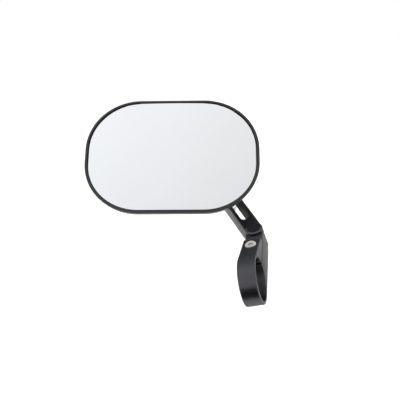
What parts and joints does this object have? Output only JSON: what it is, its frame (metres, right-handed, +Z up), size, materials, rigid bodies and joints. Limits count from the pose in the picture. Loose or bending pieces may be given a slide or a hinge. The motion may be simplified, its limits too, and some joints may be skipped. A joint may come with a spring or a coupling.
{
  "type": "bicycle handlebar mirror",
  "caption": "Rounded rectangular convex mirror on a ball joint, carried by a slotted swivelling arm on a split clamp for an oversize handlebar.",
  "frame": {"origin": "on the handlebar's axis, in the middle of the clamp's width", "axes": "+X along the handlebar to the right, +Y ahead of the rider, +Z up"},
  "size_m": [0.1336, 0.1309, 0.1695],
  "materials": {
    "anodised_aluminium": "satin black anodised, bead blasted before anodising",
    "cap_plastic": "moulded, fine texture",
    "stainless_steel": "turned and tumbled",
    "zinc_plated_steel": "bright zinc plated",
    "polished_steel": "ground and polished",
    "bronze": "sintered, oil filled",
    "nylon": "natural nylon",
    "washer_polymer": "smooth",
    "housing_plastic": "fine moulded texture",
    "bezel_plastic": "semi gloss",
    "plate_plastic": "plain",
    "foam": "closed-cell foam tape",
    "mirror_glass": "convex, polished, silvered behind"
  },
  "bodies": {
    "clamp": {"clamp_body": "anodised_aluminium", "clamp_screw": "stainless_steel", "pivot_bush": "bronze", "friction_washers": "washer_polymer"},
    "arm": {"slot_arm": "anodised_aluminium", "pivot_bolt": "stainless_steel", "pivot_nut": "zinc_plated_steel", "pivot_cap": "cap_plastic"},
    "slider": {"guide_block": "washer_polymer", "front_washer": "stainless_steel", "rear_washer": "stainless_steel", "lock_nut": "zinc_plated_steel", "ball_stud": "polished_steel"},
    "seat": {"ball_seat_front": "nylon", "ball_seat_rear": "nylon"},
    "head": {"socket_ring": "housing_plastic", "socket_screws": "stainless_steel", "mirror_housing": "housing_plastic", "backing_plate": "plate_plastic", "plate_screws": "zinc_plated_steel", "glass_pad": "foam", "mirror_glass": "mirror_glass", "bezel": "bezel_plastic"}
  },
  "joints": [
    {"name": "arm_swing", "type": "hinge", "parent": "clamp", "child": "arm", "pos_m": [0, 0.04203, 0.03343], "axis": [0, -0.6225, 0.7826], "range_deg": [-64, 16]},
    {"name": "stud_slide", "type": "slide", "parent": "arm", "child": "slider", "axis": [-0.4337, 0.7052, 0.5609], "range_m": [-0.018, 0.007]},
    {"name": "head_pan", "type": "hinge", "parent": "slider", "child": "seat", "pos_m": [-0.02862, 0.07388, 0.08892], "axis": [0.0645, 0.4385, 0.8964], "range_deg": [-12, 12]},
    {"name": "head_tilt", "type": "hinge", "parent": "seat", "child": "head", "pos_m": [-0.02862, 0.07388, 0.08892], "axis": [0.9625, 0.2099, -0.1719], "range_deg": [-16, 10]}
  ]
}
